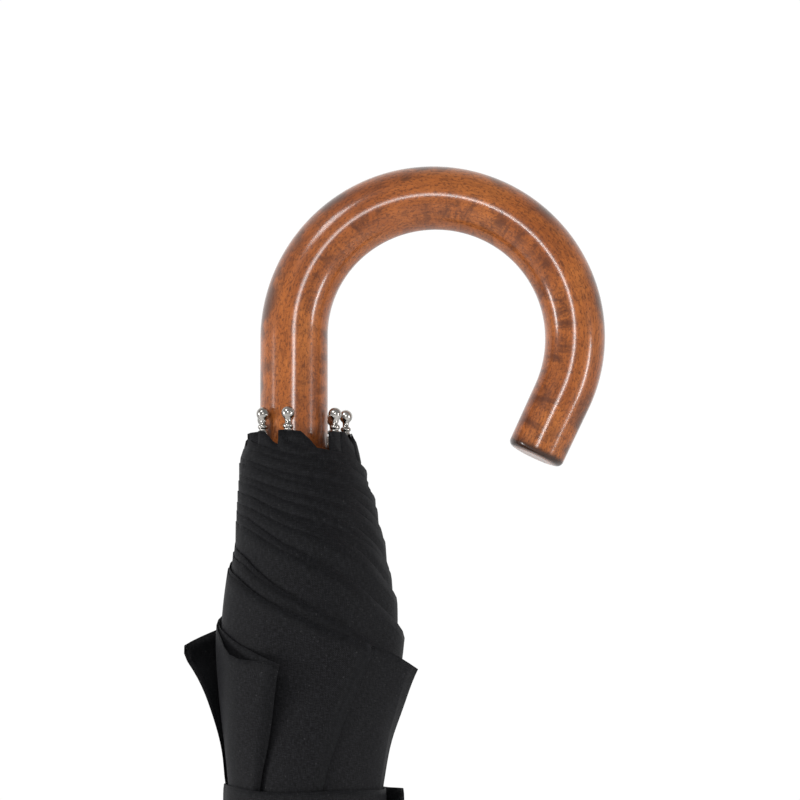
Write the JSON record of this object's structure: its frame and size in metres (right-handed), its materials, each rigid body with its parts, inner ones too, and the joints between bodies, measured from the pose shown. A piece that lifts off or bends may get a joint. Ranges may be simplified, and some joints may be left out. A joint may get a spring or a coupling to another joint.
{
  "type": "stick umbrella",
  "caption": "Closed stick umbrella: wooden crook handle and shaft, metal ferrule, folding ribs and stretchers on a sliding runner, and a rolled dark cloth canopy with a tie strap.",
  "frame": {"origin": "centre of the ferrule's flat end, on the shaft's axis", "axes": "+Z along the shaft towards the handle; the crook lies in the XZ plane and opens towards +X"},
  "size_m": [0.1404, 0.0794, 0.8098],
  "materials": {
    "maple": "gloss",
    "shaft_wood": "satin",
    "cloth": "satin",
    "nickel": "polished",
    "steel": "satin"
  },
  "bodies": {
    "root": {"crook_handle": "maple", "shaft": "shaft_wood", "ferrule": "nickel", "crown_cap": "nickel", "crown_washer": "cloth", "top_notch": "steel", "notch_wire": "nickel", "notch_rivet": "nickel", "stop_pin": "nickel", "canopy": "cloth", "tie_strap": "cloth", "snap_cap": "nickel", "snap_stud": "nickel"},
    "rib_1": {"rib_1": "steel", "rib_tip_1": "nickel", "rib_pin_1": "nickel"},
    "stretcher_1": {"stretcher_1": "steel"},
    "rib_2": {"rib_2": "steel", "rib_tip_2": "nickel", "rib_pin_2": "nickel"},
    "stretcher_2": {"stretcher_2": "steel"},
    "rib_3": {"rib_3": "steel", "rib_tip_3": "nickel", "rib_pin_3": "nickel"},
    "stretcher_3": {"stretcher_3": "steel"},
    "rib_4": {"rib_4": "steel", "rib_tip_4": "nickel", "rib_pin_4": "nickel"},
    "stretcher_4": {"stretcher_4": "steel"},
    "rib_5": {"rib_5": "steel", "rib_tip_5": "nickel", "rib_pin_5": "nickel"},
    "stretcher_5": {"stretcher_5": "steel"},
    "rib_6": {"rib_6": "steel", "rib_tip_6": "nickel", "rib_pin_6": "nickel"},
    "stretcher_6": {"stretcher_6": "steel"},
    "rib_7": {"rib_7": "steel", "rib_tip_7": "nickel", "rib_pin_7": "nickel"},
    "stretcher_7": {"stretcher_7": "steel"},
    "rib_8": {"rib_8": "steel", "rib_tip_8": "nickel", "rib_pin_8": "nickel"},
    "stretcher_8": {"stretcher_8": "steel"},
    "runner": {"runner": "nickel", "runner_wire": "steel"},
    "top_spring": {"top_spring": "steel"},
    "hand_spring": {"hand_spring": "steel"}
  },
  "joints": [
    {"name": "canopy_open", "type": "hinge", "parent": "root", "child": "rib_1", "pos_m": [0.00985, -0.00174, 0.093], "axis": [0.1736, 0.9848, 0], "range_deg": [0, 64.6], "deforming": ["canopy", "tie_strap", "snap_cap", "snap_stud", "top_spring", "hand_spring"]},
    {"name": "stretcher_1_fold", "type": "hinge", "parent": "rib_1", "child": "stretcher_1", "pos_m": [0.01128, -0.00199, 0.357], "axis": [0.1736, 0.9848, 0], "range_deg": [-129.4, 0]},
    {"name": "rib_2_swing", "type": "hinge", "parent": "root", "child": "rib_2", "pos_m": [0.00819, 0.00574, 0.093], "axis": [-0.5736, 0.8192, 0], "range_deg": [0, 64.7]},
    {"name": "stretcher_2_fold", "type": "hinge", "parent": "rib_2", "child": "stretcher_2", "pos_m": [0.00938, 0.00657, 0.357], "axis": [-0.5736, 0.8192, 0], "range_deg": [-129.4, 0]},
    {"name": "rib_3_swing", "type": "hinge", "parent": "root", "child": "rib_3", "pos_m": [0.00174, 0.00985, 0.093], "axis": [-0.9848, 0.1736, 0], "range_deg": [0, 64.7]},
    {"name": "stretcher_3_fold", "type": "hinge", "parent": "rib_3", "child": "stretcher_3", "pos_m": [0.00199, 0.01128, 0.357], "axis": [-0.9848, 0.1736, 0], "range_deg": [-129.4, 0]},
    {"name": "rib_4_swing", "type": "hinge", "parent": "root", "child": "rib_4", "pos_m": [-0.00574, 0.00819, 0.093], "axis": [-0.8192, -0.5736, 0], "range_deg": [0, 64.7]},
    {"name": "stretcher_4_fold", "type": "hinge", "parent": "rib_4", "child": "stretcher_4", "pos_m": [-0.00657, 0.00938, 0.357], "axis": [-0.8192, -0.5736, 0], "range_deg": [-129.4, 0]},
    {"name": "rib_5_swing", "type": "hinge", "parent": "root", "child": "rib_5", "pos_m": [-0.00985, 0.00174, 0.093], "axis": [-0.1736, -0.9848, 0], "range_deg": [0, 64.7]},
    {"name": "stretcher_5_fold", "type": "hinge", "parent": "rib_5", "child": "stretcher_5", "pos_m": [-0.01128, 0.00199, 0.357], "axis": [-0.1736, -0.9848, 0], "range_deg": [-129.4, 0]},
    {"name": "rib_6_swing", "type": "hinge", "parent": "root", "child": "rib_6", "pos_m": [-0.00819, -0.00574, 0.093], "axis": [0.5736, -0.8192, 0], "range_deg": [0, 64.7]},
    {"name": "stretcher_6_fold", "type": "hinge", "parent": "rib_6", "child": "stretcher_6", "pos_m": [-0.00938, -0.00657, 0.357], "axis": [0.5736, -0.8192, 0], "range_deg": [-129.4, 0]},
    {"name": "rib_7_swing", "type": "hinge", "parent": "root", "child": "rib_7", "pos_m": [-0.00174, -0.00985, 0.093], "axis": [0.9848, -0.1736, 0], "range_deg": [0, 64.7]},
    {"name": "stretcher_7_fold", "type": "hinge", "parent": "rib_7", "child": "stretcher_7", "pos_m": [-0.00199, -0.01128, 0.357], "axis": [0.9848, -0.1736, 0], "range_deg": [-129.4, 0]},
    {"name": "rib_8_swing", "type": "hinge", "parent": "root", "child": "rib_8", "pos_m": [0.00574, -0.00819, 0.093], "axis": [0.8192, 0.5736, 0], "range_deg": [0, 64.7]},
    {"name": "stretcher_8_fold", "type": "hinge", "parent": "rib_8", "child": "stretcher_8", "pos_m": [0.00657, -0.00938, 0.357], "axis": [0.8192, 0.5736, 0], "range_deg": [-129.4, 0]},
    {"name": "runner_travel", "type": "hinge", "parent": "stretcher_1", "child": "runner", "pos_m": [0.00985, -0.00174, 0.62099], "axis": [0.1736, 0.9848, 0], "range_deg": [0, 64.7]},
    {"name": "top_spring_press", "type": "hinge", "parent": "root", "child": "top_spring", "pos_m": [0.00332, 0.00074, 0.41474], "axis": [-0.2164, 0.9763, 0], "range_deg": [0, 5], "stiffness_Nm_per_rad": 1.5},
    {"name": "hand_spring_press", "type": "hinge", "parent": "root", "child": "hand_spring", "pos_m": [0.00332, 0.00074, 0.63499], "axis": [0.2164, -0.9763, 0], "range_deg": [0, 5], "stiffness_Nm_per_rad": 1.5}
  ],
  "couplings": [
    {"joint": "stretcher_1_fold", "follows": "canopy_open", "ratio": -2},
    {"joint": "rib_2_swing", "follows": "canopy_open", "ratio": 1},
    {"joint": "stretcher_2_fold", "follows": "canopy_open", "ratio": -2},
    {"joint": "rib_3_swing", "follows": "canopy_open", "ratio": 1},
    {"joint": "stretcher_3_fold", "follows": "canopy_open", "ratio": -2},
    {"joint": "rib_4_swing", "follows": "canopy_open", "ratio": 1},
    {"joint": "stretcher_4_fold", "follows": "canopy_open", "ratio": -2},
    {"joint": "rib_5_swing", "follows": "canopy_open", "ratio": 1},
    {"joint": "stretcher_5_fold", "follows": "canopy_open", "ratio": -2},
    {"joint": "rib_6_swing", "follows": "canopy_open", "ratio": 1},
    {"joint": "stretcher_6_fold", "follows": "canopy_open", "ratio": -2},
    {"joint": "rib_7_swing", "follows": "canopy_open", "ratio": 1},
    {"joint": "stretcher_7_fold", "follows": "canopy_open", "ratio": -2},
    {"joint": "rib_8_swing", "follows": "canopy_open", "ratio": 1},
    {"joint": "stretcher_8_fold", "follows": "canopy_open", "ratio": -2},
    {"joint": "runner_travel", "follows": "canopy_open", "ratio": 1}
  ]
}
